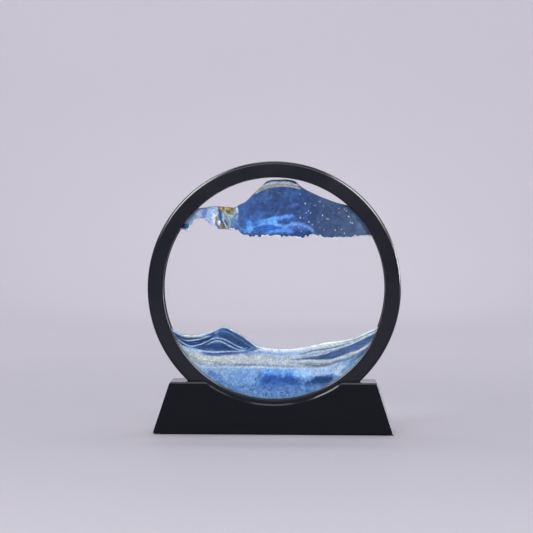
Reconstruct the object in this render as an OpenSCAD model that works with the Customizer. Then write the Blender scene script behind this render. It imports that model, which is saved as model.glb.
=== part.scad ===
// Moving sand picture: a round liquid-filled cell in a black ring frame,
// standing in a trapezoidal cradle. Millimetres, +Z up, front faces -Y.
// Origin: middle of the underside of the anti-slip sheet under the stand.

/* [Ring frame] */
// Outside diameter of the ring frame
ring_d = 178; // [164:1:186]
// Front-to-back depth of the ring frame
ring_depth = 20; // [19:0.5:24]
// Radial width of the lip seen from the front
face_w = 11.1; // [10:0.1:12]
// Rounding of the outer edges of the ring
edge_r = 2.0; // [1:0.5:2.5]
// Chamfer at the inner edge of each lip
lip_chamfer = 0.8; // [0.4:0.1:1.2]
// Number of screws that hold the rear ring
frame_screw_count = 6; // [4, 6, 8]

/* [Cell] */
// Thickness of each glass pane
pane_t = 3.0; // [2.5:0.5:3]
// Thickness of the spacer ring between the panes
spacer_t = 6.2; // [6.2:0.2:6.6]
// Thickness of the sand between the two sheets of liquid
sand_t = 4.0; // [3.2:0.2:4.2]
// Diameter of the rubber filling plug
plug_d = 4.0; // [3:0.5:5]

/* [Stand] */
// Width of the stand at its underside
stand_w_bottom = 168.6; // [160:0.2:180]
// Width of the stand at its top edge
stand_w_top = 145.2; // [140:0.2:150]
// Height of the moulded shell
stand_h = 35.7; // [34:0.1:40]
// Front-to-back depth of the stand
stand_depth = 40; // [38:1:50]
// Wall thickness of the stand
wall = 2.6; // [2:0.2:3]
// Chamfer along the outer edges of the stand
stand_chamfer = 1.0; // [0.6:0.1:1.4]
// Depth to which the ring is sunk below the top of the stand
ring_sink = 23.5; // [20:0.5:24]
// Thickness of the anti-slip sheet
mat_t = 1.0; // [0.8:0.1:1.6]

/* [Hidden] */
$fn = 96;
eps = 0.01;
// gap kept between the ring and the cradle, and between liquid and its neighbours
run_gap = 0.3;
liquid_gap = 0.2;

ring_r = ring_d / 2;
lip_r = ring_r - face_w;
half_ring = ring_depth / 2;
pocket_r = ring_r + run_gap;
pocket_half = half_ring + run_gap;
stand_top = mat_t + stand_h;
axis_z = stand_top - ring_sink + ring_r;

// radial build of the ring, from outside to inside
frame_wall = 4.5;
stack_r = ring_r - frame_wall;
pane_r = stack_r - 1.1;
spacer_in = lip_r + 2.0;
liquid_r = spacer_in - 0.3;
liquid_rim = 0.8;
sand_r = liquid_r - liquid_rim - liquid_gap;

// build along Y, from the middle outwards
seal_t = 0.3;
half_cell = spacer_t / 2 + seal_t;
pane_back = half_cell + pane_t;
lip_t = 3.0;
lip_back = half_ring - lip_t;
gasket_t = lip_back - pane_back;
liquid_out = half_cell - liquid_gap;
liquid_in = sand_t / 2 + liquid_gap;

// the sand outlines below are drawn for a sand disc of this radius
drawn_r = 78.6;
k = sand_r / drawn_r;

// cradle
arc_r = ring_r - 8.3;
half_depth = stand_depth / 2;
slope = atan((stand_w_bottom - stand_w_top) / 2 / stand_h);

plate_t = 2.4;
plate_gap = 0.2;
boss_x = stand_w_bottom / 2 - 9.1;
boss_y = 8;
boss_r = 3.2;
screw_r = 1.25;

frame_screw_r = 1.0;
frame_screw_circle = ring_r - 2.75;
frame_screw_turn = 180 / frame_screw_count;

// ---------- shared shapes ----------

// turns a profile drawn as (radius, y) about the ring's own axis
module about_ring_axis() {
  translate([0, 0, axis_z]) rotate([90, 0, 0]) mirror([0, 0, 1]) rotate_extrude(convexity = 6) children();
}

// a disc or drum lying across Y, between two y values
module drum(r, y0, y1) {
  translate([0, y0, axis_z]) rotate([-90, 0, 0]) cylinder(r = r, h = y1 - y0);
}

// points of a quarter round of radius r about (cx, cy), from angle a0 to a1
function arc_points(cx, cy, r, a0, a1, n = 6) =
  [for (i = [0:n]) [cx + r * cos(a0 + (a1 - a0) * i / n), cy + r * sin(a0 + (a1 - a0) * i / n)]];

// one deposit of sand: a flat outline drawn in the face of the cell
module deposit(outline) {
  intersection() {
    drum(sand_r, -sand_t / 2, sand_t / 2);
    translate([0, sand_t / 2, axis_z]) rotate([90, 0, 0])
      linear_extrude(height = sand_t) polygon([for (p = outline) k * p]);
  }
}

// a bar laid along an edge: its near face cuts a chamfer at depth cut below the edge, and the
// rest of it stays clear of the body; tip lays it along the edge, turn points it outwards
module chamfer_bar(at, tip, turn, cut, len) {
  translate(at) rotate(tip) rotate([0, 0, turn]) translate([-cut, -4 * cut, -len / 2])
    cube([5 * cut, 8 * cut, len]);
}

// ---------- stand ----------

module stand_block(inset, z0, z1, half_d) {
  full = stand_w_bottom / 2 - inset / cos(slope);
  low = full - (z0 - mat_t) * tan(slope);
  high = full - (z1 - mat_t) * tan(slope);
  translate([0, half_d, 0]) rotate([90, 0, 0]) linear_extrude(height = 2 * half_d)
    polygon([[-low, z0], [low, z0], [high, z1], [-high, z1]]);
}

module stand_shell() {
  color([0.03, 0.03, 0.035]) difference() {
    stand_block(0, mat_t, stand_top, half_depth);
    // hollow from underneath
    difference() {
      stand_block(wall, mat_t - 1, stand_top - wall, half_depth - wall);
      drum(arc_r + wall, -half_depth, half_depth);
      drum(pocket_r + wall, -pocket_half - wall, pocket_half + wall);
      for (sx = [-1, 1], sy = [-1, 1])
        translate([sx * boss_x, sy * boss_y, mat_t + plate_t]) cylinder(r = boss_r, h = stand_h, $fn = 32);
    }
    // curved windows, with a chamfer at their outer edges
    drum(arc_r, -half_depth - 1, half_depth + 1);
    window_chamfer(-1);
    window_chamfer(1);
    // slot that takes the ring
    drum(pocket_r, -pocket_half, pocket_half);
    // screw holes
    for (sx = [-1, 1], sy = [-1, 1])
      translate([sx * boss_x, sy * boss_y, mat_t]) cylinder(r = screw_r + 0.05, h = plate_t + 11, $fn = 32);
    // chamfered outer edges
    for (sy = [-1, 1]) {
      for (sx = [-1, 1])
        chamfer_bar([sx * (stand_w_bottom + stand_w_top) / 4, sy * half_depth, mat_t + stand_h / 2],
          [0, -sx * slope, 0], atan2(sy, sx), stand_chamfer / sqrt(2), stand_h * 1.3);
      chamfer_bar([0, sy * half_depth, stand_top], [0, 90, 0], atan2(sy, -1), stand_chamfer / sqrt(2),
        stand_w_top + 20);
    }
    for (sx = [-1, 1])
      chamfer_bar([sx * stand_w_top / 2, 0, stand_top], [90, 0, 0], atan2(1, sx), 0.6 * stand_chamfer,
        stand_depth + 2);
  }
}

module window_chamfer(side) {
  y0 = side * half_depth;
  translate([0, y0, axis_z]) rotate([side * 90, 0, 0]) translate([0, 0, -eps])
    cylinder(r1 = arc_r + stand_chamfer + eps, r2 = arc_r, h = stand_chamfer + eps);
}

module base_plate() {
  color([0.05, 0.05, 0.055]) difference() {
    stand_block(wall + plate_gap, mat_t, mat_t + plate_t, half_depth - wall - plate_gap);
    for (sx = [-1, 1], sy = [-1, 1]) translate([sx * boss_x, sy * boss_y, mat_t - eps]) {
      cylinder(r = screw_r + 0.2, h = plate_t + 1, $fn = 32);
      cylinder(r = 2.6, h = 1.3, $fn = 32);
    }
  }
}

module base_screws() {
  color([0.55, 0.55, 0.57]) for (sx = [-1, 1], sy = [-1, 1])
    translate([sx * boss_x, sy * boss_y, mat_t + 0.1]) difference() {
      union() {
        cylinder(r = screw_r, h = 11, $fn = 32);
        cylinder(r = 2.4, h = 1.1, $fn = 32);
      }
      for (a = [0, 90]) rotate([0, 0, a]) translate([0, 0, 0.2]) cube([2.6, 0.6, 1], center = true);
    }
}

module base_mat() {
  color([0.07, 0.07, 0.07]) translate([-stand_w_bottom / 2 + 5, -half_depth + 4, 0])
    cube([stand_w_bottom - 10, stand_depth - 8, mat_t]);
}

// ---------- ring frame ----------

module front_frame() {
  color([0.03, 0.03, 0.035]) difference() {
    about_ring_axis() polygon(concat(
      [[lip_r, -half_ring + lip_chamfer], [lip_r + lip_chamfer, -half_ring]],
      arc_points(ring_r - edge_r, -half_ring + edge_r, edge_r, -90, 0),
      [[ring_r, lip_back], [stack_r, lip_back], [stack_r, -lip_back], [lip_r, -lip_back]]));
    frame_screw_bores(frame_screw_r + 0.05, lip_back - 7, lip_back + 1);
    translate([0, 0, axis_z + stack_r - 1]) cylinder(r = plug_d / 2 + 0.05, h = 8, $fn = 48);
  }
}

module rear_frame() {
  color([0.03, 0.03, 0.035]) difference() {
    about_ring_axis() polygon(concat(
      [[lip_r, lip_back], [pane_r + 0.3, lip_back], [pane_r + 0.3, lip_back - 1.4]],
      [[stack_r - 0.2, lip_back - 1.4], [stack_r - 0.2, lip_back], [ring_r, lip_back]],
      arc_points(ring_r - edge_r, half_ring - edge_r, edge_r, 0, 90),
      [[lip_r + lip_chamfer, half_ring], [lip_r, half_ring - lip_chamfer]]));
    frame_screw_bores(frame_screw_r + 0.2, lip_back - 1, half_ring + 1);
    frame_screw_bores(2.1, half_ring - 1.4, half_ring + 1);
  }
}

module frame_screw_bores(r, y0, y1) {
  for (i = [0:frame_screw_count - 1])
    translate([0, 0, axis_z]) rotate([0, frame_screw_turn + i * 360 / frame_screw_count, 0])
      translate([0, y0, frame_screw_circle]) rotate([-90, 0, 0]) cylinder(r = r, h = y1 - y0, $fn = 32);
}

module frame_screws() {
  color([0.5, 0.5, 0.52]) for (i = [0:frame_screw_count - 1])
    translate([0, 0, axis_z]) rotate([0, frame_screw_turn + i * 360 / frame_screw_count, 0])
      translate([0, half_ring, frame_screw_circle]) difference() {
        union() {
          translate([0, -1.4, 0]) rotate([-90, 0, 0]) cylinder(r = 1.95, h = 1.0, $fn = 32);
          translate([0, -9, 0]) rotate([-90, 0, 0]) cylinder(r = frame_screw_r, h = 8, $fn = 32);
        }
        for (a = [0, 90]) rotate([0, a, 0]) translate([0, -0.5, 0]) cube([2.2, 0.9, 0.5], center = true);
      }
}

module ring_between(r0, r1, y0, y1) {
  about_ring_axis() polygon([[r0, y0], [r1, y0], [r1, y1], [r0, y1]]);
}

module front_gasket() {
  color([0.02, 0.02, 0.02]) ring_between(lip_r + 0.6, pane_r, -lip_back, -pane_back);
}

module rear_gasket() {
  color([0.02, 0.02, 0.02]) ring_between(lip_r + 0.6, pane_r, pane_back, lip_back);
}

// ---------- cell ----------

module front_pane() {
  color([0.85, 0.9, 0.9, 0.2]) drum(pane_r, -pane_back, -half_cell);
}

module rear_pane() {
  color([0.85, 0.9, 0.9, 0.2]) drum(pane_r, half_cell, pane_back);
}

module cell_spacer() {
  color([0.05, 0.05, 0.05]) difference() {
    ring_between(spacer_in, pane_r, -spacer_t / 2, spacer_t / 2);
    translate([0, 0, axis_z + spacer_in - 1]) cylinder(r = plug_d / 2 + 0.05, h = 8, $fn = 48);
  }
}

module front_seal() {
  color([0.1, 0.1, 0.1]) ring_between(spacer_in + 0.4, pane_r, -half_cell, -spacer_t / 2);
}

module rear_seal() {
  color([0.1, 0.1, 0.1]) ring_between(spacer_in + 0.4, pane_r, spacer_t / 2, half_cell);
}

module fill_plug() {
  color([0.12, 0.12, 0.12]) translate([0, 0, axis_z + spacer_in])
    cylinder(r = plug_d / 2, h = ring_r - 0.5 - spacer_in, $fn = 48);
}

// the clear liquid wraps the sand: a sheet in front, a sheet behind and a rim
module liquid() {
  color([0.9, 0.93, 0.95, 0.2]) difference() {
    drum(liquid_r, -liquid_out, liquid_out);
    drum(liquid_r - liquid_rim, -liquid_in, liquid_in);
  }
}

// ---------- sand and bubbles ----------
// Outlines are (x, z) from the middle of the ring, for drawn_r.

// underside of the upper sand, where the layer of bubbles holds it up
under_mound = [
  [76, 38.2], [57.7, 37], [46.4, 36.3], [33.6, 36.5], [28, 38.3], [22.3, 36.5], [11, 36.2],
  [0.4, 37.2], [-8.9, 36.4], [-18.8, 36.8], [-23, 38.1], [-26, 40.8]
];
under_gold = [[-26, 40.8], [-34.3, 41.1], [-40, 41.8], [-41.4, 43.5]];
under_pale = [
  [-41.4, 43.5], [-44.3, 44.5], [-47.1, 46.5], [-49.9, 48.4], [-53.1, 48.9], [-55.6, 48.2],
  [-58.1, 46.2], [-60.3, 43.3], [-61.3, 41], [-68.3, 41.6], [-76, 41.6]
];
// top of the blue mound, from its right end to its left foot
mound_top = [[76, 56], [54.9, 57.9], [43.5, 60.3], [32.2, 64.5], [22.3, 69.1], [18, 71.8], [16, 71]];
mound_cap = [[16, 71], [11, 72], [5.3, 72.2], [-1.8, 71.6], [-7.4, 70.2], [-12.6, 68.4]];
mound_foot = [[-12.6, 68.4], [-17.3, 63.8], [-20.9, 60.4], [-23.7, 57.1], [-24.4, 51.4], [-25.8, 46.5]];
azure_top = [[33.6, 36.5], [28, 43], [20, 47.8], [9, 51.5], [-2, 52.4], [-12, 49.5], [-20, 46], [-23, 38.1]];

function turned(line) = [for (i = [len(line) - 1:-1:0]) line[i]];

module upper_navy_sand() {
  color([0.06, 0.13, 0.33]) deposit(concat(
    [for (i = [0:3]) under_mound[i]], azure_top, [under_mound[11]],
    turned(mound_foot), turned(mound_cap), turned(mound_top)));
}

module upper_azure_sand() {
  color([0.22, 0.47, 0.82]) deposit(concat(
    azure_top, turned([for (i = [4:9]) under_mound[i]])));
}

module upper_pale_sand() {
  color([0.62, 0.72, 0.87]) deposit(concat(
    under_pale, [[-76, 54], [-62.7, 55.4], [-56.3, 55.7], [-49.2, 56.4], [-40.7, 57.3]],
    [[-36.5, 55.3], [-37.9, 51.4], [-41.2, 47.9]]));
}

module upper_gold_sand() {
  color([0.55, 0.42, 0.17]) deposit(concat(
    under_gold, [[-41.2, 47.9], [-37.9, 51.4], [-36.5, 55.3], [-40.7, 57.3]],
    [[-32.2, 56.9], [-28.7, 56.5], [-20.9, 60.4], [-23.7, 57.1], [-24.4, 51.4], [-25.8, 46.5]]));
}

module peak_pale_sand() {
  color([0.68, 0.68, 0.66]) deposit(concat(
    mound_cap, [[-7.4, 73.3], [-1.8, 74.6], [5.3, 75], [11, 74.7], [15.6, 73.2], [16.6, 71.9]]));
}

module peak_navy_sand() {
  color([0.06, 0.1, 0.24]) deposit([
    [-7.4, 73.3], [-1.8, 74.6], [5.3, 75], [11, 74.7], [15.6, 73.2], [14.5, 75.1], [11, 76.1],
    [3.2, 76.4], [-3.2, 75.9], [-6, 74.8]]);
}

// a thin layer of trapped air bubbles under the whole of the upper sand
module bubble_raft() {
  line = concat(under_mound, [for (i = [1:3]) under_gold[i]], [for (i = [1:10]) under_pale[i]]);
  color([0.93, 0.95, 0.96, 0.5]) deposit(concat(line, [for (p = turned(line)) p - [0, 1.6]]));
}

// boundaries between the lower deposits, each from left to right
crest_left = [[-80, -25.3], [-74.7, -27.9], [-64.8, -33.1], [-52.8, -33.2], [-47.8, -32.1], [-41.8, -29.8],
  [-37, -27.3], [-34.6, -27.1], [-24.4, -32.1], [-17.1, -37.2], [-13.2, -40.1]];
crest_right = [[-13.2, -40.1], [-8.9, -41.6], [-1.1, -42.8], [11.7, -42.8], [21.6, -41.5], [35.8, -38.4],
  [50.6, -36.3], [57.7, -34.5], [64.8, -31.2], [70.5, -28.4], [80, -23.4]];
dune_base = [[-14, -44.9], [-31.5, -45.2], [-50.4, -44.9], [-61.3, -43.2], [-69.3, -36.7], [-80, -27]];
band_top = [[15.2, -50], [27, -48.4], [37.9, -46.1], [43.3, -43.9], [57.7, -38.1], [80, -27]];
band_base = [[80, -29], [68.5, -37.4], [57.7, -43.9], [46.9, -47.9], [36, -50.6], [15.2, -50]];
pale_base = [[80, -32], [66, -44], [46.9, -51.5], [37.9, -55], [18.1, -55.8], [0, -55.4], [-38.6, -55],
  [-50, -54], [-58, -50], [-66, -43], [-80, -29.5]];

module dune_navy_sand() {
  color([0.07, 0.15, 0.33]) deposit(concat(crest_left, dune_base));
}

module crest_pale_sand() {
  color([0.78, 0.85, 0.88]) deposit(concat(
    crest_right, turned(band_top), [[2, -47.6], [-14, -44.9]]));
}

module right_navy_sand() {
  color([0.1, 0.18, 0.4]) deposit(concat(band_top, band_base));
}

module lower_pale_sand() {
  color([0.74, 0.78, 0.76]) deposit(concat(
    turned(dune_base), [[2, -47.6]], turned(band_base), pale_base));
}

module lower_azure_sand() {
  color([0.25, 0.45, 0.75]) deposit(concat(turned(pale_base), [[80, -80], [-80, -80]]));
}

// ---------- draw ----------
stand_shell();
base_plate();
base_screws();
base_mat();
liquid();
front_frame();
rear_frame();
frame_screws();
front_gasket();
rear_gasket();
front_pane();
rear_pane();
cell_spacer();
front_seal();
rear_seal();
fill_plug();
bubble_raft();
upper_navy_sand();
upper_azure_sand();
upper_pale_sand();
upper_gold_sand();
peak_pale_sand();
peak_navy_sand();
lower_azure_sand();
lower_pale_sand();
dune_navy_sand();
right_navy_sand();
crest_pale_sand();
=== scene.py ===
# %% [markdown]
# # A moving sand picture
# A round glass cell full of clear liquid, coloured sand and tiny air bubbles sits in a black ring
# frame, and the ring stands in a black cradle. The CAD model gives every piece its place; this
# lesson gives the pieces their looks. All lengths are in metres, +Z is up, the front faces -Y.

# %% Load the frame
import math
import bpy
import bmesh
import numpy as np
from mathutils import Matrix, Quaternion, Vector


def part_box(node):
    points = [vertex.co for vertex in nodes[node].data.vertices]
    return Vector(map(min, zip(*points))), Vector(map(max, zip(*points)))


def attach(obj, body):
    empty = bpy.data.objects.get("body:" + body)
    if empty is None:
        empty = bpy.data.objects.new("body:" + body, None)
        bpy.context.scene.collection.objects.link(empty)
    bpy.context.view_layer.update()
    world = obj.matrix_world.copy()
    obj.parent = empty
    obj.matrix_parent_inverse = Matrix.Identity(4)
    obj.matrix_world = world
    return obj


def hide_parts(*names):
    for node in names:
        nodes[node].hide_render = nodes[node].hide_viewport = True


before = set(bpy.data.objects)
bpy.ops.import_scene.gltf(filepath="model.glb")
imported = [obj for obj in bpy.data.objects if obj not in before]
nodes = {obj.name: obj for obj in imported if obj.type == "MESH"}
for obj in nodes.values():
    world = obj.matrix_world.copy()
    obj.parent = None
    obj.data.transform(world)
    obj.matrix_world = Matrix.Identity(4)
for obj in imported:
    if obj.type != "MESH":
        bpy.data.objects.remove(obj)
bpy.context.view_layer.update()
MM = 0.001

# %% [markdown]
# ## Sizes
# Everything round shares one axis, which runs front to back through the middle of the ring. Its
# height and the radii are read from the CAD boxes, so the looks can't drift away from the model.

# %% Read the sizes
ring_low, ring_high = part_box("front_frame")
_, rear_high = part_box("rear_frame")
pane_low, pane_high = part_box("front_pane")
ring_r = (ring_high.z - ring_low.z) / 2
axis_z = (ring_high.z + ring_low.z) / 2
front_y, back_y = ring_low.y, rear_high.y
joint_y = ring_high.y
lip_t = back_y - joint_y
lip_r = min(math.hypot(v.x, v.z - axis_z) for v in
            [nodes["front_frame"].matrix_world @ w.co for w in nodes["front_frame"].data.vertices])
wall_r = ring_r - 4.5 * MM
sand_low, sand_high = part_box("lower_azure_sand")
sand_half = sand_high.y
sand_r = axis_z - sand_low.z
print(f"ring radius {ring_r:.4f}, axis height {axis_z:.4f}")
print(f"sand radius {sand_r:.4f}, half thickness {sand_half:.4f}, pane {pane_high.z - pane_low.z:.4f} across")

# %% [markdown]
# ## Camera
# The ring is seen almost square on, from a little above its middle and from far away, so a long
# lens keeps it round. The aim is a little left of the ring, which leaves it just right of centre.

# %% Place the camera
def put_in_scene(name, data):
    made = bpy.data.objects.new(name, data)
    bpy.context.scene.collection.objects.link(made)
    return made

camera = put_in_scene("camera", bpy.data.cameras.new("camera"))
bpy.context.scene.camera = camera
camera.data.sensor_width = 36
camera.data.lens = 143.6
camera_turn = math.radians(0.5)
camera_away = 1.5
camera.location = (camera_away * math.sin(camera_turn), -camera_away * math.cos(camera_turn), 0.150)
aim = Vector((-0.0056, 0, 0.1172))
lean = Quaternion((0, 0, 1), math.radians(0.28))
camera.rotation_mode = "QUATERNION"
camera.rotation_quaternion = (aim - camera.location).to_track_quat("-Z", "Y") @ lean
camera.data.clip_start, camera.data.clip_end = 0.05, 20
print("camera", [round(v, 3) for v in camera.location])

# %% [markdown]
# ## Studio
# A pale lilac-grey room like a paper backdrop: a floor that curves up into walls all
# round, so that no edge shows from any side. It is one spun profile, smooth-shaded.

# %% Build the room
def new_mesh_object(name, vertices, faces, smooth=True):
    mesh = bpy.data.meshes.new(name)
    mesh.from_pydata([tuple(map(float, v)) for v in vertices], [], [tuple(map(int, f)) for f in faces])
    mesh.polygons.foreach_set("use_smooth", [smooth] * len(mesh.polygons))
    mesh.update()
    return put_in_scene(name, mesh)

room_floor, room_bend, room_top = 1.7, 0.9, 3.2
room_profile = [(0.0, 0.0)] + [(room_floor * i / 6, 0.0) for i in range(1, 7)]
room_profile += [(room_floor + room_bend * math.sin(a), room_bend * (1 - math.cos(a)))
                 for a in [math.radians(7.5 * i) for i in range(1, 13)]]
room_profile += [(room_floor + room_bend, room_top)]
room_turns = 72
room_points = [(r * math.cos(t), r * math.sin(t), z) for r, z in room_profile[1:]
               for t in [2 * math.pi * j / room_turns for j in range(room_turns)]]
room_points.append((0, 0, 0))
room_faces = [(i * room_turns + j, i * room_turns + (j + 1) % room_turns,
               (i + 1) * room_turns + (j + 1) % room_turns, (i + 1) * room_turns + j)
              for i in range(len(room_profile) - 2) for j in range(room_turns)]
room_faces += [(len(room_points) - 1, (j + 1) % room_turns, j) for j in range(room_turns)]
room = new_mesh_object("studio_room", room_points, room_faces)
print("room", len(room_faces), "faces")

# %% [markdown]
# ## Node helpers
# Materials are small node trees. These helpers keep each one to a few lines: one starts a
# material, one adds a node with its settings, one makes a colour ramp.

# %% Helpers for materials
def linear(rgb):
    """A colour picked on screen, 0 to 255, as the linear numbers that shaders use."""
    return [((c / 255) / 12.92 if c <= 10 else (((c / 255) + 0.055) / 1.055) ** 2.4) for c in rgb]

def start_material(name, colour, roughness, **sockets):
    made = bpy.data.materials.new(name)
    made.use_nodes = True
    shader = made.node_tree.nodes["Principled BSDF"]
    shader.inputs["Base Color"].default_value = (*colour, 1)
    shader.inputs["Roughness"].default_value = roughness
    for socket, value in sockets.items():
        shader.inputs[socket.replace("_", " ")].default_value = value
    return made, made.node_tree, shader

def add(tree, kind, inputs=None, **settings):
    made = tree.nodes.new(kind)
    for key, value in settings.items():
        setattr(made, key, value)
    for key, value in (inputs or {}).items():
        if isinstance(value, bpy.types.NodeSocket):
            tree.links.new(value, made.inputs[key])
        else:
            made.inputs[key].default_value = value
    return made

def ramp(tree, value, stops):
    made = add(tree, "ShaderNodeValToRGB", {"Fac": value})
    while len(made.color_ramp.elements) < len(stops):
        made.color_ramp.elements.new(1.0)
    for element, (at, colour) in zip(made.color_ramp.elements, stops):
        element.position = at
        element.color = (*colour, 1) if len(colour) == 3 else colour
    return made.outputs["Color"]

def noise(tree, scale, detail):
    """Soft random values, 0 to 1, at the piece's own coordinates."""
    place = add(tree, "ShaderNodeTexCoord").outputs["Object"]
    return add(tree, "ShaderNodeTexNoise", {"Vector": place, "Scale": scale, "Detail": detail}).outputs["Fac"]

def tint(tree, shader, value, stops):
    tree.links.new(ramp(tree, value, stops), shader.inputs["Base Color"])

# %% [markdown]
# ## Paper and lamps
# The room is matt paper with a trace of cloudiness. A broad lamp in front and one over the wall
# give the even light. Black pieces only show their shape by what they mirror, so large lamps at
# the sides light nothing but them, through light linking, and draw a bright line on each edge.

# %% Paint and light the room
room_paint, tree, shader = start_material("studio_paper", linear((200, 197, 205)), 0.6)
tint(tree, shader, noise(tree, 1.5, 2.0), [(0.3, linear((199, 196, 204))), (0.7, linear((202, 199, 207)))])
shader.inputs["Specular IOR Level"].default_value = 0.2
room.data.materials.append(room_paint)

def aim_lamp(light, at, towards, roll=0):
    light.location = at
    light.rotation_mode = "QUATERNION"
    light.rotation_quaternion = ((Vector(towards) - Vector(at)).to_track_quat("-Z", "Y")
                                 @ Quaternion((0, 0, 1), math.radians(roll)))

def softbox(name, at, towards, size, watts, roll=0, only=None):
    """A soft lamp; only is the collection of the pieces that it may light."""
    light = put_in_scene(name, bpy.data.lights.new(name, "AREA"))
    light.data.shape = "RECTANGLE"
    light.data.size, light.data.size_y = size
    light.data.energy = watts
    aim_lamp(light, at, towards, roll)
    light.visible_camera = False
    if only:
        light.light_linking.receiver_collection = only

middle = (0, 0, 0.1)
edge_lit = bpy.data.collections.new("pieces_with_edge_light")
ring_lit = bpy.data.collections.new("rings_with_edge_light")
softbox("edge_left", (-0.94, -0.9, 1.04), middle, (0.95, 0.7), 86, roll=-45, only=edge_lit)
softbox("edge_right", (0.94, -0.9, 1.04), middle, (0.95, 0.7), 118, roll=45, only=edge_lit)
softbox("edge_side", (1.5, -0.08, 0.38), middle, (0.14, 0.66), 25, only=edge_lit)
softbox("edge_lip", (1.5, -0.05, 0.36), middle, (0.09, 0.42), 34, only=ring_lit)
softbox("edge_over_left", (-0.95, 0.0, 1.55), middle, (0.35, 0.7), 30, only=edge_lit)
softbox("edge_over_right", (0.95, 0.0, 1.55), middle, (0.3, 0.6), 9, only=edge_lit)
softbox("edge_top", (0, 0, 1.7), middle, (0.6, 0.5), 6, only=edge_lit)
softbox("softbox_front", (-0.2, -1.65, 0.78), middle, (1.6, 0.7), 24)
softbox("softbox_wall", (0.0, 0.9, 1.9), (0, 2.4, 0.4), (2.2, 0.6), 19)
spot = put_in_scene("background_lamp", bpy.data.lights.new("background_lamp", "SPOT"))
spot.data.energy = 9
spot.data.spot_size = math.radians(48)
spot.data.spot_blend = 1.0
spot.data.shadow_soft_size = 0.2
aim_lamp(spot, (0, 1.15, 1.1), (0, 2.05, 0.0))
world = bpy.data.worlds.new("soft_room_light")
bpy.context.scene.world = world
world.use_nodes = True
world.node_tree.nodes["Background"].inputs["Color"].default_value = (0.93, 0.94, 1.0, 1)
world.node_tree.nodes["Background"].inputs["Strength"].default_value = 0.8
bpy.context.scene.view_settings.view_transform = "Standard"

# %% [markdown]
# ## Black moulding
# Ring and cradle are injection-moulded in black plastic with a smooth satin skin. The colour is
# nearly black with a hint of blue; what makes it plastic is the faint unevenness of the sheen, so
# noise drives the roughness a little and a very shallow bump breaks up the reflections.

# %% Make the black moulding
def black_moulding(name, colour, roughness, bump, gloss):
    made, tree, shader = start_material(name, colour, roughness, Specular_IOR_Level=gloss)
    wide, fine = noise(tree, 38.0, 3.0), noise(tree, 900.0, 2.0)
    sheen = add(tree, "ShaderNodeMapRange", {"Value": wide, "From Min": 0.3, "From Max": 0.7,
                                             "To Min": roughness - 0.05, "To Max": roughness + 0.06})
    tree.links.new(sheen.outputs["Result"], shader.inputs["Roughness"])
    tint(tree, shader, fine, [(0.35, [c * 0.75 for c in colour]), (0.65, [c * 1.35 for c in colour])])
    skin = add(tree, "ShaderNodeBump", {"Height": fine, "Strength": bump, "Distance": 0.00003})
    tree.links.new(skin.outputs["Normal"], shader.inputs["Normal"])
    return made

ring_black = black_moulding("ring_black_satin", (0.0017, 0.0019, 0.0032), 0.17, 0.12, 0.215)
stand_black = black_moulding("stand_black_satin", (0.0008, 0.0010, 0.0017), 0.13, 0.12, 0.11)
plate_black = black_moulding("plate_black_matt", (0.012, 0.012, 0.013), 0.55, 0.6, 0.4)
print("black mouldings made")

# %% [markdown]
# ## Foam, rubber and screws
# The anti-slip sheet is closed-cell foam with a pitted face, the gaskets, seals and plug are matt
# rubber, and the small screws are plated steel with fine turning marks.

# %% Make foam, rubber and screw finishes
def pitted(name, colour, roughness, scale, depth):
    made, tree, shader = start_material(name, colour, roughness)
    place = add(tree, "ShaderNodeTexCoord").outputs["Object"]
    cells = add(tree, "ShaderNodeTexVoronoi", {"Vector": place, "Scale": scale}).outputs["Distance"]
    dark, pale = [c * 0.7 for c in colour], [c * 1.3 for c in colour]
    tint(tree, shader, noise(tree, scale / 6, 4.0), [(0.3, dark), (0.7, pale)])
    pits = add(tree, "ShaderNodeBump", {"Height": cells, "Strength": 0.6, "Distance": depth})
    tree.links.new(pits.outputs["Normal"], shader.inputs["Normal"])
    return made

foam_black = pitted("anti_slip_foam", (0.028, 0.028, 0.03), 0.85, 1400.0, 0.00025)
rubber_black = pitted("black_rubber", (0.016, 0.016, 0.017), 0.6, 2600.0, 0.00006)

def turned_steel(name, colour, roughness):
    made, tree, shader = start_material(name, colour, roughness, Metallic=1.0)
    marks = noise(tree, 2500.0, 3.0)
    tint(tree, shader, marks, [(0.3, [c * 0.8 for c in colour]), (0.7, colour)])
    lines = add(tree, "ShaderNodeBump", {"Height": marks, "Strength": 0.3, "Distance": 0.00004})
    tree.links.new(lines.outputs["Normal"], shader.inputs["Normal"])
    return made

screw_black = turned_steel("blackened_screw", (0.10, 0.10, 0.11), 0.38)
screw_zinc = turned_steel("zinc_screw", (0.55, 0.56, 0.58), 0.32)
print("foam, rubber and screws made")

# %% [markdown]
# ## Glass and liquid
# The panes and the liquid have almost the same optical density, so on the real cell only the
# outer faces of the glass mirror anything. Here each body is bent-light glass with a low index for
# the same calm look. Lamps shine straight through: rays towards a lamp meet a clear shader.

# %% Make glass and liquid
def clear_body(name, colour, index):
    made, tree, shader = start_material(name, colour, 0.0, Transmission_Weight=1.0, IOR=index)
    path = add(tree, "ShaderNodeLightPath").outputs["Is Shadow Ray"]
    open_way = add(tree, "ShaderNodeBsdfTransparent", {"Color": (*colour, 1)})
    both = add(tree, "ShaderNodeMixShader", {0: path, 1: shader.outputs["BSDF"], 2: open_way.outputs["BSDF"]})
    tree.links.new(both.outputs["Shader"], tree.nodes["Material Output"].inputs["Surface"])
    return made

pane_glass = clear_body("pane_glass", (1.0, 1.0, 1.0), 1.12)
clear_liquid = clear_body("clear_liquid", (1.0, 1.0, 1.0), 1.02)
print("glass and liquid made")

# %% [markdown]
# ## Ring frames
# Both ring mouldings are one outline swept round the axis, so Geometry Nodes make them: the
# outline is drawn once, its corners are rounded by a Fillet Curve with a radius stored on each
# point, and Curve to Mesh sweeps it round a circle. One tree serves both mouldings.

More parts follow.
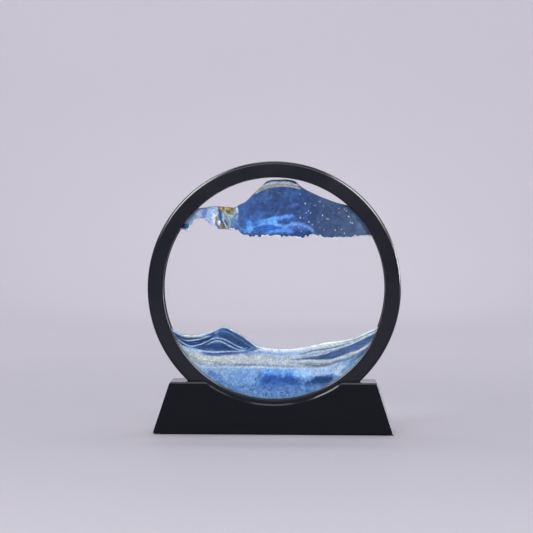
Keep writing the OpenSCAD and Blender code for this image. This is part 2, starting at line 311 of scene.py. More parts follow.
# %% Build the sweeping tree
def start_tree(name, sizes, counts):
    """A tree that takes a shape, the named sizes and whole numbers, and a finish."""
    tree = bpy.data.node_groups.new(name, "GeometryNodeTree")
    wanted = [("Geometry", "Geometry"), *((n, "Float") for n in sizes), *((n, "Int") for n in counts),
              ("Finish", "Material")]
    for label, kind in wanted:
        tree.interface.new_socket(label, in_out="INPUT", socket_type="NodeSocket" + kind)
    tree.interface.new_socket("Geometry", in_out="OUTPUT", socket_type="NodeSocketGeometry")
    return tree, add(tree, "NodeGroupInput")

def end_tree(tree, ins, shape, smooth=True):
    """Turns the shape's copies into real meshes and gives them the finish."""
    real = add(tree, "GeometryNodeRealizeInstances", {"Geometry": shape})
    if smooth:
        real = add(tree, "GeometryNodeSetShadeSmooth", {"Geometry": real.outputs["Geometry"]})
    done = add(tree, "GeometryNodeSetMaterial", {"Geometry": real.outputs["Geometry"],
               "Material": ins.outputs["Finish"]})
    add(tree, "NodeGroupOutput", {"Geometry": done.outputs["Geometry"]})
    return tree

def sweep_tree():
    tree, ins = start_tree("sweep_round_the_axis", ("Path radius", "Axis height"),
                           ("Steps round", "Steps per corner"))
    rounding = add(tree, "GeometryNodeInputNamedAttribute", {"Name": "corner_radius"}, data_type="FLOAT")
    outline = add(tree, "GeometryNodeMeshToCurve", {"Mesh": ins.outputs["Geometry"]})
    rounded = add(tree, "GeometryNodeFilletCurve", {"Curve": outline.outputs["Curve"],
                  "Radius": rounding.outputs["Attribute"], "Limit Radius": True})
    if hasattr(rounded, "mode"):
        rounded.mode = "POLY"
    tree.links.new(ins.outputs["Steps per corner"], rounded.inputs["Count"])
    circle = add(tree, "GeometryNodeCurvePrimitiveCircle", {"Resolution": ins.outputs["Steps round"],
                 "Radius": ins.outputs["Path radius"]})
    swept = add(tree, "GeometryNodeCurveToMesh", {"Curve": circle.outputs["Curve"],
                "Profile Curve": rounded.outputs["Curve"]})
    lift = add(tree, "ShaderNodeCombineXYZ", {"Z": ins.outputs["Axis height"]})
    stood = add(tree, "GeometryNodeTransform", {"Geometry": swept.outputs["Mesh"],
                "Translation": lift.outputs["Vector"], "Rotation": (math.radians(90), 0, 0)})
    return end_tree(tree, ins, stood.outputs["Geometry"])

def set_inputs(modifier, **values):
    """Sets a modifier's named inputs by their sockets' identifiers."""
    for item in modifier.node_group.interface.items_tree:
        key = item.name.replace(" ", "_")
        if item.in_out == "INPUT" and key in values:
            modifier[item.identifier] = values[key]

def apply_all(host, name):
    """The host's evaluated shape as a plain mesh object; the host is removed."""
    evaluated = host.evaluated_get(bpy.context.evaluated_depsgraph_get())
    mesh = bpy.data.meshes.new_from_object(evaluated)
    mesh.name = name
    bpy.data.objects.remove(host)
    return put_in_scene(name, mesh)

# %% [markdown]
# The front outline has a lip over the glass and a side wall that reaches back over the cell; the
# rear one is a flat ring that closes it. Both stop just short of their joint, which leaves the
# fine dark line where the two mouldings meet.

# %% Sweep the two mouldings
def swept_ring(name, outline, finish):
    """outline: (radius, y, corner radius) in metres, in order round the section."""
    count = len(outline)
    points = [(r - ring_r, y, 0) for r, y, _ in outline]
    host = new_mesh_object(name + "_outline", points, [])
    host.data.edges.add(count)
    host.data.edges.foreach_set("vertices", [v for i in range(count) for v in (i, (i + 1) % count)])
    corner = host.data.attributes.new("corner_radius", "FLOAT", "POINT")
    corner.data.foreach_set("value", [c for _, _, c in outline])
    modifier = host.modifiers.new("sweep", "NODES")
    modifier.node_group = ring_tree
    set_inputs(modifier, Path_radius=ring_r, Axis_height=axis_z, Steps_round=288, Steps_per_corner=6,
               Finish=finish)
    made = apply_all(host, name)
    lows = [min(v.co[k] for v in made.data.vertices) for k in range(3)]
    highs = [max(v.co[k] for v in made.data.vertices) for k in range(3)]
    print(name, len(made.data.polygons), "faces", [round(v, 4) for v in (*lows, *highs)])
    return made

ring_tree = sweep_tree()
edge, small, lip_edge, joint_edge, joint_gap = 2.0 * MM, 0.25 * MM, 0.8 * MM, 0.2 * MM, 0.05 * MM
front_outline = [
    (lip_r, front_y, lip_edge), (ring_r, front_y, edge), (ring_r, joint_y - joint_gap, joint_edge),
    (wall_r, joint_y - joint_gap, small), (wall_r, front_y + lip_t, 0), (lip_r, front_y + lip_t, small)]
rear_outline = [(lip_r, back_y, lip_edge), (lip_r, joint_y, small), (ring_r, joint_y + joint_gap, joint_edge),
                (ring_r, back_y, edge)]
front_ring = swept_ring("front_ring_moulding", front_outline, ring_black)
rear_ring = swept_ring("rear_ring_moulding", rear_outline, ring_black)

# %% [markdown]
# ## Holes in the mouldings
# The front moulding has a filling hole at its top, closed with a small plug, and the rear one has
# six counterbored screw holes. They are cut with a Boolean, then a Weighted Normal modifier keeps
# the flat faces flat and the rounded edges soft.

# %% Cut the holes
def cylinder(name, radius, depth, at, turn):
    data = bpy.data.meshes.new(name)
    work = bmesh.new()
    bmesh.ops.create_cone(work, cap_ends=True, segments=40, radius1=radius, radius2=radius, depth=depth,
                          matrix=Matrix.Translation(at) @ turn)
    work.to_mesh(data)
    work.free()
    return put_in_scene(name, data)

def cut_and_soften(target, cutters, finish):
    for cutter in cutters:
        modifier = target.modifiers.new("hole", "BOOLEAN")
        modifier.operation, modifier.solver, modifier.object = "DIFFERENCE", "EXACT", cutter
    made = apply_all(target, target.name + "_cut")
    for cutter in cutters:
        bpy.data.objects.remove(cutter)
    made.data.materials.clear()
    made.data.materials.append(finish)
    made.modifiers.new("flat_faces_flat", "WEIGHTED_NORMAL").weight = 100
    return made

across = Matrix.Rotation(math.radians(90), 4, "X")
hole_r, screw_circle = 2.1 * MM, 86.25 * MM
plug_cutter = cylinder("plug_cutter", hole_r, 8 * MM, (0, 0, axis_z + ring_r - 2 * MM), Matrix.Identity(4))
front_ring = cut_and_soften(front_ring, [plug_cutter], ring_black)
screw_cutters = [cylinder(f"screw_cutter_{k}", hole_r, 2 * MM,
                          (screw_circle * math.cos(math.radians(30 + 60 * k)), 9.6 * MM,
                           axis_z + screw_circle * math.sin(math.radians(30 + 60 * k))), across)
                 for k in range(6)]
rear_ring = cut_and_soften(rear_ring, screw_cutters, ring_black)
for ring, node in ((front_ring, "front_frame"), (rear_ring, "rear_frame")):
    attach(ring, "picture")
    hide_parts(node)
    edge_lit.objects.link(ring)
    ring_lit.objects.link(ring)
    print(ring.name, len(ring.data.polygons), "faces")

# %% [markdown]
# ## Cradle
# The cradle is a wedge-shaped shell with a round cut-out that the ring drops into. Its moulded
# shape comes from the CAD solid: a copy is merged, its flat triangles are joined into whole faces,
# and a small Bevel gives every edge the tiny radius that a mould leaves.

# %% Soften the cradle
def softened(node, name, finish, width):
    data = nodes[node].data.copy()
    data.transform(nodes[node].matrix_world)
    work = bmesh.new()
    work.from_mesh(data)
    bmesh.ops.remove_doubles(work, verts=work.verts, dist=2e-6)
    bmesh.ops.dissolve_limit(work, angle_limit=math.radians(0.6), verts=work.verts, edges=work.edges)
    bmesh.ops.recalc_face_normals(work, faces=work.faces)
    work.to_mesh(data)
    work.free()
    data.materials.clear()
    data.materials.append(finish)
    data.polygons.foreach_set("use_smooth", [True] * len(data.polygons))
    made = put_in_scene(name, data)
    bevel = made.modifiers.new("mould_radius", "BEVEL")
    bevel.width = width
    bevel.segments = 3
    bevel.limit_method = "ANGLE"
    bevel.angle_limit = math.radians(25)
    bevel.harden_normals = True
    made.modifiers.new("flat_faces_flat", "WEIGHTED_NORMAL").weight = 100
    return made

cradle = softened("stand_shell", "cradle_shell", stand_black, 0.22 * MM)
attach(cradle, "stand")
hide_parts("stand_shell")
edge_lit.objects.link(cradle)
print("cradle", len(cradle.data.polygons), "faces")

# %% [markdown]
# ## Painting tools
# Sand settles in layers, so its colours are painted as layers: smooth curves across the picture
# in millimetres from the ring's centre, bands filled between two curves, thin strokes along one,
# and soft clouds. Layered random values make them ragged like real sand.

# %% Painting tools
def lattice(x, z, cell, seed):
    """Smooth random values from 0 to 1 with features of about one cell, in mm."""
    u, v = x / cell + 1000, z / cell + 1000
    i, j = np.floor(u).astype(np.int64), np.floor(v).astype(np.int64)
    s, t = u - i, v - j
    s, t = s * s * (3 - 2 * s), t * t * (3 - 2 * t)
    def value(a, b):
        n = (a * 374761393 + b * 668265263 + seed * 1442695041) & 0x7FFFFFFF
        n = ((n ^ (n >> 13)) * 1274126177) & 0x7FFFFFFF
        return ((n ^ (n >> 16)) & 0xFFFF) / 65535
    low = value(i, j) * (1 - s) + value(i + 1, j) * s
    high = value(i, j + 1) * (1 - s) + value(i + 1, j + 1) * s
    return low * (1 - t) + high * t

def cloudy(x, z, cell, seed, layers=4):
    """Layered random values, about 0.5 on average."""
    total, weight = 0, 0
    for k in range(layers):
        total = total + lattice(x, z, cell / 2 ** k, seed + 17 * k) / 1.6 ** k
        weight += 1 / 1.6 ** k
    return total / weight

def curve(*points):
    """A smooth curve through (x, z) points, as a function from x to z."""
    xs, zs = np.array(points, float).T
    slopes = np.gradient(zs, xs)
    def at(x):
        x = np.clip(x, xs[0], xs[-1])
        i = np.clip(np.searchsorted(xs, x) - 1, 0, len(xs) - 2)
        h = xs[i + 1] - xs[i]
        t = (x - xs[i]) / h
        return ((2 * t ** 3 - 3 * t ** 2 + 1) * zs[i] + (t ** 3 - 2 * t ** 2 + t) * h * slopes[i]
                + (3 * t ** 2 - 2 * t ** 3) * zs[i + 1] + (t ** 3 - t ** 2) * h * slopes[i + 1])
    at.span = (xs[0], xs[-1])
    return at

def ease(value, low, high):
    t = np.clip((value - low) / (high - low), 0, 1)
    return t * t * (3 - 2 * t)

def within(x, span, soft):
    return ease(x, span[0] - soft, span[0] + soft) * (1 - ease(x, span[1] - soft, span[1] + soft))

class Paint:
    """Colours, 0 to 255, at points (x, z) in mm, painted layer over layer."""
    def __init__(self, x, z, colour):
        self.x, self.z = x, z
        self.colour = np.tile(np.array(colour, float), (len(x), 1))
    def mix(self, weight, colour):
        weight = np.clip(weight, 0, 1)[:, None]
        self.colour = self.colour * (1 - weight) + np.array(colour, float) * weight
    def band(self, top, base, colour, strength=1.0, soft=0.6, ends=2.0):
        edge = soft / 2
        weight = ease(top(self.x) - self.z, -edge, edge) * ease(self.z - base(self.x), -edge, edge)
        span = (max(top.span[0], base.span[0]), min(top.span[1], base.span[1]))
        self.mix(weight * within(self.x, span, ends) * strength, colour)
    def stroke(self, path, colour, width, strength=1.0, ends=3.0, shift=0.0):
        weight = np.exp(-((self.z - path(self.x) - shift) / width) ** 2)
        self.mix(weight * within(self.x, path.span, ends) * strength, colour)
    def foam(self, path, colour, width, strength, seed, cell=2.4, ends=3.0):
        """A ragged, broken streak along a curve."""
        reach = np.exp(-((self.z - path(self.x)) / width) ** 2)
        reach = reach + 1.2 * (cloudy(self.x, self.z, cell, seed) - 0.5)
        self.mix(ease(reach, 0.2, 1.05) * within(self.x, path.span, ends) * strength, colour)
    def cloud(self, centre, size, colour, strength=1.0, tilt=0.0, ragged=0.5, cell=4.0, seed=1, sharp=0.35):
        turn = math.radians(tilt)
        dx, dz = self.x - centre[0], self.z - centre[1]
        u = (dx * math.cos(turn) + dz * math.sin(turn)) / size[0]
        v = (-dx * math.sin(turn) + dz * math.cos(turn)) / size[1]
        reach = 1 - np.hypot(u, v) + ragged * 2 * (cloudy(self.x, self.z, cell, seed) - 0.5)
        self.mix(ease(reach, 0, sharp) * strength, colour)
    def layers(self, top, base, colours, seed, thick=0.8, long=14.0, strength=1.0, soft=0.6):
        """Thin layers that lie between two curves and follow them, in two or more colours."""
        high, low = top(self.x), base(self.x)
        depth = (high - self.z) / np.maximum(high - low, 0.8)
        room = np.clip(np.median(high - low), 2, 30)
        inside = ease(high - self.z, -soft / 2, soft / 2) * ease(self.z - low, -soft / 2, soft / 2)
        span = (max(top.span[0], base.span[0]), min(top.span[1], base.span[1]))
        inside = inside * within(self.x, span, 2)
        for k, colour in enumerate(colours):
            value = cloudy(self.x * thick / long, depth * room + 0.4 * k, thick, seed + 40 * k, 3)
            self.mix(inside * strength * ease(value, 0.5, 0.62), colour)
    def mottle(self, cell, amount, seed, layers=3, stretch=1.0):
        value = cloudy(self.x, self.z * stretch, cell, seed, layers) - 0.5
        self.colour = self.colour * (1 + 2 * amount * value[:, None])
print("painting tools ready")

# %% [markdown]
# ## Lower picture
# Below lies the sand that has already fallen. From the bottom up: a smoky azure bed, a pale layer
# with an olive line under it, a navy dune of thin nested layers on the left, a dark wedge on the
# right, and a white crest along the top.

# %% Curves of the lower picture
crest = curve((-79, -25.8), (-74.7, -27.9), (-70.5, -30.5), (-64.8, -33.1), (-59.8, -33.5), (-52.8, -33.2),
              (-47.8, -32.1), (-41.8, -29.8), (-37, -27.3), (-34.6, -27.1), (-30.1, -29.2), (-24.4, -32.1),
              (-17.1, -37.2), (-13.2, -40.1), (-8.9, -41.6), (-1.1, -42.8), (11.7, -42.8), (21.6, -41.5),
              (35.8, -38.4), (50.6, -36.3), (57.7, -34.5), (64.8, -31.2), (70.5, -28.4), (79, -24))
dune_base = curve((-80, -27), (-69.3, -36.7), (-61.3, -43.2), (-50.4, -45.9), (-41.4, -47.4), (-34.2, -47.2),
                  (-27, -46.4), (-17, -44.9), (-9, -42.6))
pale_base = curve((-80, -44), (-62, -49), (-55.6, -52.6), (-49.2, -54.7), (-38.6, -55), (-18.9, -54.9),
                  (-7.7, -54.8), (4.6, -55.5), (18.1, -55.8), (31.5, -55.6), (37.9, -55), (46.9, -51.5),
                  (57, -47), (66, -42), (80, -32))
olive_line = curve((-55.6, -52), (-49.2, -54.3), (-38.6, -54.5), (-18.9, -54.4), (-7.7, -54.2), (4.6, -55.1),
                   (18.1, -55.3), (31.5, -55), (37.9, -54.4), (46.9, -50.8))
wedge_top = curve((11, -50.3), (21.6, -49.4), (27, -48.4), (32.4, -47.5), (37.9, -46.1), (43.3, -43.9),
                  (50.5, -41.4), (57.7, -38.1), (64.9, -34.8), (73.3, -30.4), (80, -27))
wedge_base = curve((11, -50.3), (28.8, -50.5), (36, -50.6), (41.8, -49.7), (46.9, -47.9), (52.3, -45.7),
                   (57.7, -43.9), (63.2, -41), (68.5, -37.4), (73.3, -32.9), (80, -28))
smoky_line = curve((20.2, -53.8), (28.8, -54.5), (36, -54.2), (39.7, -53.5), (43.3, -52.2), (52.3, -49.7),
                   (60.5, -45.6), (68, -40))
right_line = curve((20.2, -46.5), (27, -44.4), (34.3, -43.2), (39.7, -42.3), (50.5, -39.2), (57.7, -36.7),
                   (64.9, -33.1), (71.2, -29))
dune_strokes = [
    ("dark", 0.9, curve((-71.4, -32.4), (-66.7, -35.3), (-63.1, -36.3), (-57.3, -36), (-51.6, -35.2))),
    ("white", 0.45, curve((-72.5, -31.6), (-65.6, -36.3), (-61.3, -37.4), (-57.3, -37.2), (-52.3, -36.5),
                          (-47.6, -34.8), (-44.3, -34))),
    ("dark", 0.7, curve((-70.3, -32.7), (-64.9, -37), (-61.3, -38.7), (-57.3, -38.5), (-52.3, -37.7),
                        (-46.8, -36.3), (-42.1, -34.1))),
    ("dark", 0.8, curve((-62.7, -38.5), (-57.3, -40.3), (-54, -40.1), (-49.4, -38.5), (-45, -36.7))),
    ("white", 0.45, curve((-68.3, -35.7), (-64.9, -38.5), (-61.3, -40.6), (-57.7, -41.4), (-52.3, -40.3),
                          (-46.8, -38.1), (-43.2, -36.3), (-40, -35.8), (-37.2, -36.1), (-32.4, -37.7),
                          (-27, -41), (-20.9, -43.2))),
    ("dark", 0.6, curve((-45, -38.1), (-41.4, -36.9), (-37.9, -37), (-34.2, -38.2), (-28.7, -41.1),
                        (-24.1, -43.5))),
    ("white", 0.5, curve((-46.8, -40.3), (-43.2, -38.2), (-39.6, -37.7), (-36, -38.6), (-30.6, -41.5),
                         (-25.1, -43.9), (-18.8, -44.8))),
    ("white", 0.5, curve((-69.3, -36.7), (-64.9, -41), (-61.3, -43.2), (-55.9, -44.4), (-50.4, -44.9),
                         (-44.3, -45.1), (-31.5, -45.2), (-17.3, -44.9))),
    ("lavender", 0.8, curve((-50.6, -46.5), (-46.5, -47.1), (-41.4, -47.6), (-34.2, -47.3), (-27, -46.4),
                            (-17.1, -44.9)))]
stroke_colours = {"dark": (26, 52, 98), "white": (186, 212, 240), "lavender": (84, 104, 158)}
print("lower curves:", 8 + len(dune_strokes))

# %% [markdown]
# Each layer goes over the ones before it, from the bed up to the crest. The coordinates are bent
# a little by noise first, so that no boundary is a drawn line, and a grainy mottle comes last.

# %% Paint the lower picture
def paint_lower(x, z):
    wave_x = x + 1.4 * (cloudy(x, z, 9, 11) - 0.5)
    wave_z = z + 0.9 * (cloudy(x, z, 5, 12) - 0.5)
    p = Paint(wave_x, wave_z, (124, 164, 218))
    # azure bed: soft clouds, then smoke drawn up in feathers, then the mottled bottom
    p.cloud((-34, -60), (15, 4.2), (142, 174, 214), 0.85, -4, seed=21, cell=3)
    p.cloud((-52, -52), (10, 5), (142, 172, 214), 0.9, -40, seed=22)
    p.cloud((-40, -63.6), (9, 3.4), (80, 124, 188), 0.9, -30, seed=23, ragged=0.7)
    p.cloud((-24, -64), (9, 4.6), (112, 156, 216), 0.85, -20, seed=28, ragged=0.8, cell=3)
    p.cloud((6, -59.6), (17, 3.8), (112, 176, 252), 0.95, 0, seed=25, ragged=0.4)
    p.cloud((20, -60.0), (9, 3.6), (160, 206, 255), 0.95, 4, seed=26, ragged=0.5)
    p.cloud((36, -59), (14, 3.6), (162, 194, 236), 0.95, 8, seed=27, ragged=0.5)
    p.cloud((47, -58.5), (6, 5), (190, 204, 228), 0.85, 40, seed=84, ragged=0.5)
    feathers = cloudy(x, z * 0.28, 2.2, 31)
    smoke = np.exp(-(((x - 5) / 19) ** 4 + ((z + 66) / 6.2) ** 2)) + 1.1 * (feathers - 0.5)
    p.mix(ease(smoke, 0.2, 0.9) * ease(-np.abs(x - 5), -25, -15) * 0.95, (56, 106, 188))
    p.cloud((-4.5, -64.8), (9.5, 5.0), (36, 74, 146), 0.95, 0, seed=29, ragged=0.8, cell=2.6, sharp=0.7)
    p.cloud((12, -65.6), (9.5, 4.4), (42, 78, 144), 0.9, -6, seed=33, ragged=0.8, cell=2.6, sharp=0.7)
    for at, lean, reach in ((-9.4, 4, 4.6), (-4.2, -6, 4.4), (-1.6, 14, 2.6), (10.8, -5, 4.2)):
        p.cloud((at, -61.2), (1.5, reach), (58, 110, 198), 0.6, lean, seed=int(60 + at), ragged=0.9, cell=1.8,
                sharp=0.8)
    p.cloud((11.1, -57.2), (0.6, 1.0), (70, 92, 156), 0.9, 0, seed=36, ragged=0.3, cell=1.5)
    p.cloud((30, -66.4), (15.5, 4.0), (48, 84, 144), 0.95, 16, seed=34, ragged=0.6, cell=3, sharp=0.7)
    p.cloud((34, -65.0), (11.0, 2.8), (28, 58, 106), 0.95, 10, seed=30, ragged=0.6, cell=2.4, sharp=0.6)
    p.cloud((33, -70.6), (9, 1.6), (128, 146, 194), 0.8, 18, seed=35, ragged=0.5)
    bottom = ease(-z + 0.03 * np.abs(x), 66.5, 70.5)
    p.mix(bottom * 0.75, (82, 126, 184))
    p.mix(bottom * ease(cloudy(x, z, 1.6, 37), 0.50, 0.66) * 0.5, (128, 168, 212))
    p.mix(bottom * ease(cloudy(x, z, 1.8, 38), 0.50, 0.66) * 0.6, (52, 92, 148))
    specks = ease(cloudy(x, z, 1.1, 39, 2), 0.60, 0.70) * ease(-x, 2, 22)
    p.mix(specks * ease(-z, 57, 60) * 0.4, (170, 200, 232))
    p.mix(np.exp(-((z + 56.6) / 0.9) ** 2) * ease(x, -40, -20) * 0.5, (180, 204, 234))
    # pale layer: blue on top, cream and khaki grains below, the olive line under them
    p.band(crest, pale_base, (178, 198, 222), 1.0, 1.0, 0.5)
    p.layers(crest, pale_base, [(150, 178, 214), (204, 216, 226), (186, 198, 206)], 40, 0.9, 18, 0.8)
    p.cloud((-50, -49.5), (24, 3.2), (190, 200, 198), 0.9, -8, seed=41)
    p.cloud((-65, -44.0), (10, 2.4), (172, 180, 176), 0.9, -44, seed=42)
    p.cloud((-60, -48.5), (12, 1.4), (128, 160, 206), 0.8, -38, seed=83)
    p.cloud((-56, -51.5), (12, 1.6), (164, 186, 214), 0.8, -22, seed=43)
    p.cloud((-10, -45.6), (20, 1.7), (128, 160, 210), 0.85, 3, seed=44, ragged=0.6)
    p.cloud((8, -46.6), (20, 1.5), (150, 184, 228), 0.85, 2, seed=85, ragged=0.6)
    p.cloud((-24, -50.4), (34, 2.6), (196, 207, 208), 0.9, -1, seed=45)
    p.cloud((-40, -49.6), (14, 1.4), (206, 216, 222), 0.8, 3, seed=46, ragged=0.7, cell=3)
    p.cloud((24, -52.4), (24, 1.5), (190, 202, 204), 0.9, 2, seed=47)
    p.cloud((6, -49.4), (13, 0.9), (176, 194, 220), 0.8, 2, seed=86, ragged=0.7, cell=3)
    cream = ease(z, -55.5, -53.5) * (1 - ease(z, -50.0, -46.5))
    p.mix(cream * ease(cloudy(x, z * 1.5, 1.5, 48), 0.50, 0.64) * 0.4, (192, 198, 186))
    p.mix(cream * ease(cloudy(x, z, 1.2, 49), 0.52, 0.66) * 0.45, (148, 168, 196))
    khaki_line = curve((-62, -46.6), (-57, -49.4), (-51, -51.2), (-44, -52.4), (-36, -52.8))
    p.foam(khaki_line, (158, 168, 150), 0.9, 0.7, 70)
    dark_olive = 0.35 + 0.6 * np.exp(-((x + 20) / 9) ** 2) + 0.35 * np.exp(-((x - 35) / 9) ** 2)
    p.stroke(olive_line, (100, 112, 118), 0.75, 0.85 * np.clip(dark_olive, 0, 1), 5)
    p.stroke(olive_line, (172, 180, 168), 0.5, 0.5, 5, shift=-0.8)
    p.stroke(olive_line, (204, 220, 240), 0.6, 0.65, 5, shift=-1.6)
    # navy dune, and the thin layers inside it
    p.band(crest, dune_base, (34, 66, 120), 1.0, 0.7, 2)
    dune_top = curve(*[(a, float(crest(np.array(a)))) for a in range(-76, -9, 3)])
    dune_tones = [(58, 96, 152), (22, 48, 94), (90, 130, 184), (28, 58, 106)]
    p.layers(dune_top, dune_base, dune_tones, 51, 0.7, 16, 0.7)
    p.cloud((-33, -33.5), (10, 3.8), (32, 60, 110), 0.85, -24, seed=53, ragged=0.5, cell=2.5)
    p.cloud((-36.6, -30.4), (3.6, 2.0), (70, 108, 164), 0.85, -10, seed=52, ragged=0.5, cell=2)
    p.cloud((-40.8, -31.6), (2.6, 1.0), (150, 172, 190), 0.8, 30, seed=50, ragged=0.5, cell=2)
    grit = ease(cloudy(x, z, 0.9, 59, 2), 0.58, 0.68) * ease(x, -36, -30) * (1 - ease(x, -17, -14))
    p.mix(grit * ease(crest(x) - z, 1.6, 2.6) * (1 - ease(crest(x) - z, 5.5, 8)) * 0.5, (124, 152, 180))
    p.cloud((-24, -38.4), (9, 2.2), (32, 60, 110), 0.75, -34, seed=54, ragged=0.5, cell=2.5)
    p.cloud((-39, -41.6), (13, 2.4), (34, 62, 112), 0.9, -4, seed=55, ragged=0.35, cell=2.5)
    p.cloud((-56, -34.6), (9, 0.6), (168, 176, 168), 0.7, 0, seed=56, ragged=0.3)
    p.cloud((-60, -42.6), (11, 1.0), (150, 184, 220), 0.9, -12, seed=57, ragged=0.3)
    p.cloud((-47, -45.2), (16, 0.8), (150, 182, 218), 0.85, -2, seed=58, ragged=0.3)
    slope_line = curve((-36, -29.4), (-30.1, -31.6), (-24.4, -34.8), (-17.1, -39.8), (-12, -42))
    p.stroke(slope_line, (30, 56, 98), 0.6, 0.8, 2)
    p.stroke(slope_line, (104, 138, 180), 0.4, 0.7, 2, shift=-1.0)
    for tone, width, path in dune_strokes:
        p.stroke(path, stroke_colours[tone], width, 0.95, 3)
    # right side: dark wedge, its pale bands, and the smoke under them
    p.stroke(right_line, (176, 186, 176), 0.9, 0.7, 6, shift=1.1)
    p.stroke(right_line, (66, 94, 132), 0.55, 0.9, 4)
    p.stroke(right_line, (196, 214, 232), 0.6, 0.7, 4, shift=-1.1)
    p.stroke(right_line, (120, 148, 188), 0.6, 0.7, 6, shift=-2.3)
    p.band(wedge_top, wedge_base, (70, 98, 144), 1.0, 0.8, 5)
    p.layers(wedge_top, wedge_base, [(96, 122, 162), (50, 76, 120)], 66, 0.9, 12, 0.75)
    p.stroke(wedge_base, (184, 196, 200), 0.8, 0.85, 5, shift=-1.3)
    p.stroke(wedge_base, (128, 152, 186), 0.6, 0.75, 5, shift=-2.6)
    p.stroke(wedge_base, (172, 194, 218), 0.6, 0.75, 5, shift=-3.6)
    p.stroke(smoky_line, (96, 114, 136), 0.8, 0.85, 5)
    p.cloud((58, -50), (9, 2.6), (92, 128, 176), 0.9, 40, seed=63)
    p.cloud((64, -44.5), (8, 1.6), (52, 84, 130), 0.9, 42, seed=64)
    p.cloud((61, -48.6), (7, 0.8), (150, 178, 212), 0.8, 42, seed=67)
    p.cloud((52, -56), (8, 1.8), (112, 146, 192), 0.75, 36, seed=65)
    # crest, the brightest line in the picture
    p.x, p.z = x + 0.3 * (cloudy(x, z, 3, 71) - 0.5), z
    depth = crest(p.x) - p.z
    right = ease(x, 10, 36)
    low_left = np.exp(-((x + 56) / 9) ** 4)
    p.mix(np.exp(-((depth - 1.9) / 1.0) ** 2) * ease(x, -16, -6) * 0.85, (206, 226, 246))
    p.mix(np.exp(-((depth - 3.0) / 0.5) ** 2) * ease(x, -12, -4) * (1 - right) * 0.6, (140, 178, 226))
    speckled = right * ease(cloudy(x, z, 1.4, 72), 0.44, 0.58)
    p.mix(np.exp(-((depth - 2.3) / 1.0) ** 2) * speckled * 0.8, (190, 204, 206))
    p.mix(np.exp(-((depth - 1.5) / 0.6) ** 2) * low_left * 0.8, (176, 188, 184))
    p.mix(np.exp(-((depth - 0.55) / 0.7) ** 2) * (0.85 + 0.15 * ease(x, -16, 0)), (246, 254, 255))
    p.mix(np.exp(-((depth - 1.7) / 0.5) ** 2) * (1 - ease(x, -16, -11)) * (1 - low_left) * 0.8, (58, 94, 150))
    p.mix(np.exp(-((depth - 1.4) / 0.35) ** 2) * ease(x, 44, 54) * 0.8, (86, 106, 130))
    # painted highlight: a pale grey rim round the sand's edge, where it meets the ring's lip, stands in for
    # the glass edge catching the light
    p.mix(ease(np.hypot(x, z), 77.2, 78.2) * 0.5, (150, 156, 170))
    p.mottle(0.9, 0.20, 81)
    p.mottle(3.5, 0.08, 82)
    return p.colour

# %% [markdown]
# ## Upper picture
# Above hangs the sand that has not fallen yet, held up by a raft of air bubbles. A navy mound
# with blue clouds at its foot fills the middle and right, gold and khaki marbling borders it on
# the left, pale sand reaches the left edge, and a thin gold and navy cap crowns the peak.

# %% Curves of the upper picture
under = curve((-72, 41.6), (-68.3, 41.4), (-64.1, 41.7), (-61.3, 41.2), (-60.3, 43.3), (-58.1, 46.2),
              (-55.6, 48.2), (-53.1, 48.9), (-49.9, 48.4), (-47.1, 46.5), (-44.3, 44.5), (-41.4, 43.5),
              (-40, 41.8), (-34.3, 41.1), (-26.1, 40.8), (-23, 38.1), (-18.8, 36.8), (-8.9, 36.4),
              (0.4, 37.2), (11, 36.2), (22.3, 36.5), (28, 38.3), (33.6, 36.5), (46.4, 36.3), (57.7, 37),
              (76, 38.2))
upper_top = curve((-76, 51), (-72.6, 52.1), (-62.7, 55.4), (-56.3, 55.7), (-49.2, 56.4), (-42.8, 57.4),
                  (-37.2, 57.1), (-32.2, 56.9), (-28.7, 56.5), (-24.4, 58.8), (-20.9, 60.4),
                  (-17.3, 63.8), (-12.7, 68.5), (-9.6, 71.2), (-6, 74.8), (-3.2, 75.8), (3.2, 76.3),
                  (11, 76.1), (14.5, 75.1), (17.7, 72.2), (22.3, 69.1), (26.6, 67.1), (32.2, 64.5),
                  (37.9, 62.3), (43.5, 60.3), (49.2, 58.9), (54.9, 57.9), (69, 56.4), (76, 56))
gold_line = curve((-14, 67.0), (-11.3, 68.8), (-7.4, 70.9), (-1.8, 72.2), (5.3, 72.7), (11, 72.4), (17, 71.0))
pale_line = curve((-13, 68.6), (-11, 69.8), (-6.7, 72.7), (-1.8, 74.1), (5.3, 74.6), (11, 74.2), (16.5, 72.6))
white_under = curve((-13.5, 66.4), (-11.7, 67.7), (-6, 70.2), (0.4, 71.4), (6.7, 71.7), (12.4, 71.2),
                    (17.3, 69.8))
cap_line = curve((-7.4, 73.4), (-4.6, 75.1), (3.2, 75.9), (11, 75.6), (15.2, 73.6))
azure_foam = [
    ((94, 152, 232), 1.9, curve((-12, 46.0), (-7, 47.2), (-3.5, 47.6), (0, 48.8), (4, 49.8), (9, 50.6),
                                (13, 50.6))),
    ((104, 160, 228), 1.5, curve((-14, 42.8), (-9.5, 44.6), (-4.2, 45.5), (1, 45.0), (4.6, 43.8), (9, 42.0))),
    ((104, 146, 208), 1.7, curve((6, 42.8), (10.4, 44.6), (15, 45.0), (20.6, 44.0), (25, 41.4), (28.6, 38.9))),
    ((88, 148, 230), 1.5, curve((-7, 38.6), (-1, 39.7), (4, 40.4), (9, 40.2), (13, 39.0)))]
